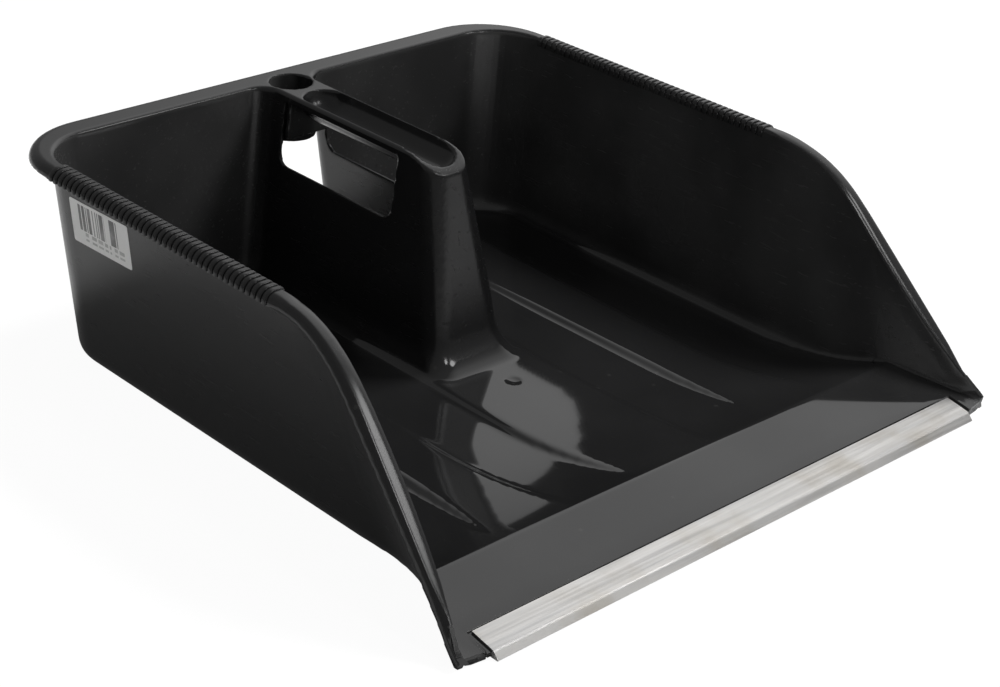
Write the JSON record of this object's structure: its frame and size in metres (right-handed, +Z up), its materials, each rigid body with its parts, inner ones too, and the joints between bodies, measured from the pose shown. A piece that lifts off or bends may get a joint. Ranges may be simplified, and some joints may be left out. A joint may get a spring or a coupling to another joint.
{
  "type": "dustpan",
  "caption": "Deep black plastic dustpan with a metal front lip, a hollow carrying handle along the middle, finger windows, ridged rim grips and a round hole for a broomstick.",
  "frame": {"origin": "centre of the overall box, on the ground", "axes": "+Z up, -Y towards the mouth, X across the pan"},
  "size_m": [0.4202, 0.428, 0.1294],
  "materials": {
    "pan_plastic": "black polypropylene, glossy inside, satin outside",
    "lip_metal": "drawn, matt, with lengthwise streaks",
    "label_paper": "matt paper with plain printed bars"
  },
  "bodies": {
    "root": {"pan_moulding": "pan_plastic", "metal_lip": "lip_metal", "label": "label_paper"}
  },
  "joints": []
}
